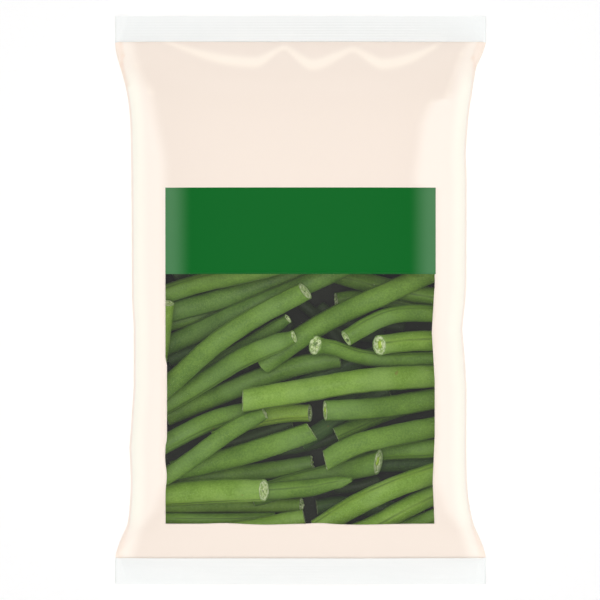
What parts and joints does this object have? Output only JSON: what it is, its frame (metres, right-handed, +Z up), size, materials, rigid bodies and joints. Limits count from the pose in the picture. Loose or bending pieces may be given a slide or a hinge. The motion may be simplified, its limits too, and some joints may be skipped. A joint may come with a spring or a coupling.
{
  "type": "bag of green beans",
  "caption": "Heat-sealed pillow bag of snipped green beans lying on its back, cream printed film with a plain green band and a clear window that shows the beans.",
  "frame": {"origin": "on the surface the bag lies on, under the middle of its bounding box", "axes": "+X across the bag to the right of its front, +Y along the bag to its top seal, +Z up out of the front with its window"},
  "size_m": [0.216, 0.331, 0.053],
  "materials": {
    "printed_film": "soft satin cream print on polyethylene film, with a plain green band",
    "clear_film": "clear unprinted polyethylene film",
    "seal_film": "hazy crimped film",
    "bean": "fresh green bean skin, satin, pale at the snipped ends"
  },
  "bodies": {
    "root": {"back_seam": "seal_film", "bean_01": "bean", "bean_02": "bean", "bean_03": "bean", "bean_04": "bean", "bean_05": "bean", "bean_06": "bean", "bean_07": "bean", "bean_08": "bean", "bean_09": "bean", "bean_10": "bean", "bean_11": "bean", "bean_12": "bean", "bean_13": "bean", "bean_14": "bean", "bean_15": "bean", "bean_16": "bean", "bean_17": "bean", "bean_18": "bean", "bean_19": "bean", "bean_20": "bean", "bean_21": "bean", "bean_22": "bean", "bean_23": "bean", "bean_24": "bean", "bean_25": "bean", "bean_26": "bean", "bean_27": "bean", "bean_28": "bean", "bean_29": "bean", "bean_30": "bean", "bean_31": "bean", "bean_32": "bean", "bean_33": "bean", "bean_34": "bean", "bean_35": "bean", "bean_36": "bean", "bean_37": "bean", "bean_38": "bean", "bean_39": "bean", "bean_40": "bean", "bean_41": "bean", "bottom_seal": "seal_film", "label_beans_1": "bean", "label_beans_2": "bean", "lower_beans_1": "bean", "lower_beans_2": "bean", "lower_beans_3": "bean", "lower_beans_4": "bean", "lower_beans_5": "bean", "printed_sleeve": "printed_film", "top_seal": "seal_film", "window_pane": "clear_film"}
  },
  "joints": []
}
